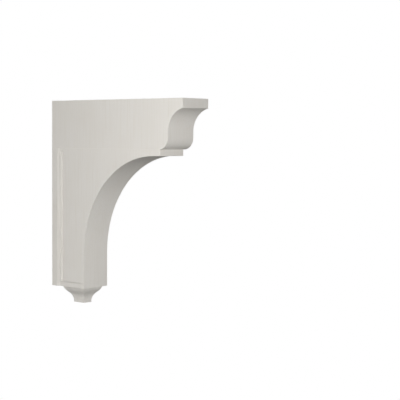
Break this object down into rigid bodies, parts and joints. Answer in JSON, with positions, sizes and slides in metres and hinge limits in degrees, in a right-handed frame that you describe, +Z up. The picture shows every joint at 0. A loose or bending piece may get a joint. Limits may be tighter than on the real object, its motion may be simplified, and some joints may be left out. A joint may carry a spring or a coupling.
{
  "type": "architectural bracket",
  "caption": "Arched timber corbel bracket with a moulded head, a flat back board and an ogee drop under its leg, fixed to a wall to carry a shelf, worktop or beam.",
  "frame": {"origin": "middle of the flat back face that lies against the wall", "axes": "+Z up, the bracket reaches out from the wall along -Y, +Y points into the wall, X across its width"},
  "size_m": [0.0636, 0.3048, 0.3556],
  "materials": {
    "body_paint": "satin warm white paint",
    "drop_paint": "satin warm white paint"
  },
  "bodies": {
    "root": {"bracket_body": "body_paint", "foot_drop": "drop_paint"}
  },
  "joints": []
}
